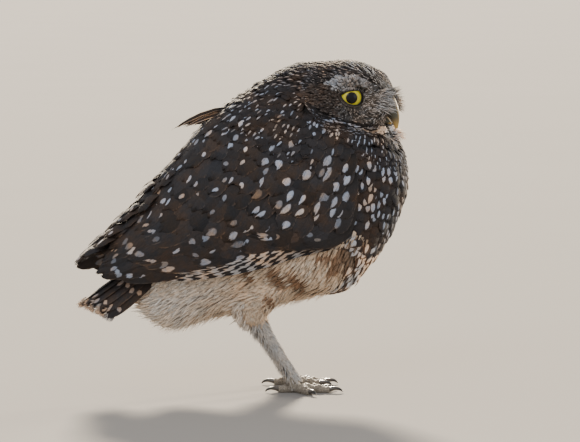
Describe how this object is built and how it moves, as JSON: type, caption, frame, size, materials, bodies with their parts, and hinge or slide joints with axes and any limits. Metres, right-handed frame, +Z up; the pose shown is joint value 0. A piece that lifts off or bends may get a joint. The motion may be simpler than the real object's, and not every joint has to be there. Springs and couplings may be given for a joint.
{
  "type": "burrowing owl, still life-size model",
  "caption": "Life-size still model of a small long-legged ground owl, standing side on with folded wings and its head turned a little towards the viewer.",
  "frame": {"origin": "on the floor, under the middle of the whole bird's box", "axes": "+X is the way the body faces, +Y is the owl's left side, +Z is up"},
  "size_m": [0.1982, 0.0854, 0.198],
  "materials": {
    "brown_plumage": "soft brown feathers with pale streaks and spots",
    "breast_plumage": "soft buff feathers with brown bars, dark and white-spotted on the upper breast",
    "flight_feathers": "firm dark brown feathers with rows of pale spots",
    "bill": "horn, pale yellow-green, satin",
    "eye": "wet glossy eye, lemon-yellow iris with a black pupil",
    "leg": "short bristly off-white feathers on the shank",
    "foot": "dry grey-brown scaled skin",
    "claw": "smooth dark horn"
  },
  "bodies": {
    "root": {"head": "brown_plumage", "neck": "brown_plumage", "torso": "breast_plumage", "tail": "flight_feathers", "wing_right": "flight_feathers", "wing_left": "flight_feathers", "eye_right": "eye", "eye_left": "eye", "bill_upper": "bill", "bill_lower": "bill", "thigh_right": "breast_plumage", "thigh_left": "breast_plumage", "tarsus_right": "leg", "tarsus_left": "leg", "foot_right": "foot", "foot_left": "foot", "claw_right_inner": "claw", "claw_right_middle": "claw", "claw_right_outer": "claw", "claw_right_hind": "claw", "claw_left_inner": "claw", "claw_left_middle": "claw", "claw_left_outer": "claw", "claw_left_hind": "claw"}
  },
  "joints": []
}
